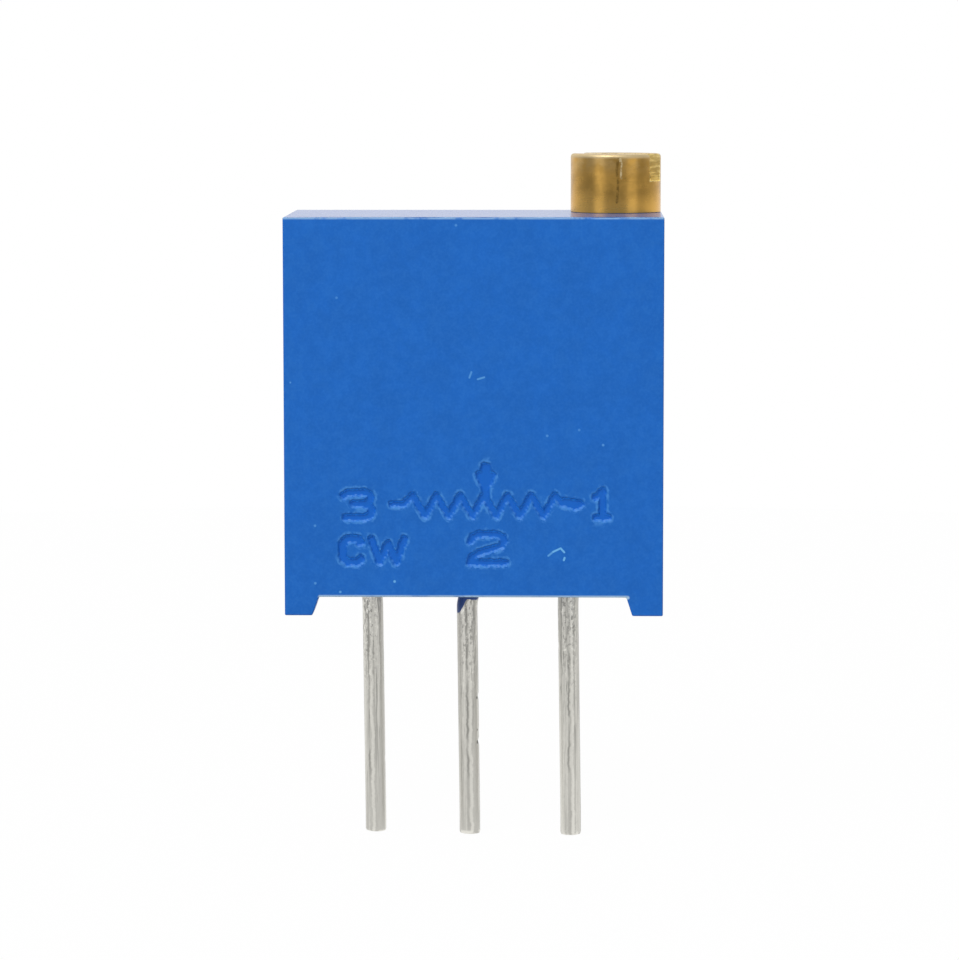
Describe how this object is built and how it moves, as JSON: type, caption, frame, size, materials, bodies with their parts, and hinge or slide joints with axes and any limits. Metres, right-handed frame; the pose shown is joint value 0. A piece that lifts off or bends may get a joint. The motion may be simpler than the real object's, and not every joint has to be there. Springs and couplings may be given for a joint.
{
  "type": "trimmer potentiometer",
  "caption": "Square blue trimmer potentiometer for circuit boards, with a slotted brass adjusting screw at its top edge and round wire terminals in line below.",
  "frame": {"origin": "on the middle terminal's axis, at the plane of the circuit board that the feet stand on", "axes": "+Z from the board to the adjusting screw's head, +X along the row of terminals towards terminal 1 and the screw, -Y out of the marked face"},
  "size_m": [0.0095, 0.0048, 0.0176],
  "materials": {
    "housing": "satin moulded thermoplastic, mid blue",
    "screw_brass": "turned brass, slightly dulled",
    "seal_rubber": "black rubber ring",
    "retainer_steel": "bare spring steel",
    "rotor_plastic": "natural nylon",
    "wiper_metal": "precious-metal spring sheet",
    "ceramic": "white alumina",
    "resistive_film": "fired cermet film",
    "conductor_film": "fired silver alloy film",
    "terminal_tin": "tinned wire with drawing marks",
    "solder": "satin solder",
    "epoxy": "dark blue potting compound"
  },
  "bodies": {
    "body": {"housing": "housing", "screw_seal_ring": "seal_rubber", "screw_retainer": "retainer_steel", "ceramic_substrate": "ceramic", "resistive_track": "resistive_film", "collector_track": "conductor_film", "end_conductor_1": "conductor_film", "end_conductor_3": "conductor_film", "terminal_1": "terminal_tin", "terminal_2": "terminal_tin", "terminal_3": "terminal_tin", "solder_joint_1": "solder", "solder_joint_2": "solder", "solder_joint_3": "solder", "epoxy_seal": "epoxy"},
    "screw": {"adjusting_screw": "screw_brass"},
    "wheel": {"rotor": "rotor_plastic", "wiper_contact": "wiper_metal"}
  },
  "joints": [
    {"name": "screw_turn", "type": "hinge", "parent": "body", "child": "screw", "pos_m": [0.00374, 0.00115, 0.01], "axis": [0, 0, 1], "range_deg": [-4500, 4500]},
    {"name": "wheel_turn", "type": "hinge", "parent": "body", "child": "wheel", "pos_m": [-0.00012, 0.00115, 0.0054], "axis": [0, 1, 0], "range_deg": [-125, 125]}
  ],
  "couplings": [
    {"joint": "wheel_turn", "follows": "screw_turn", "ratio": 0.027778}
  ]
}
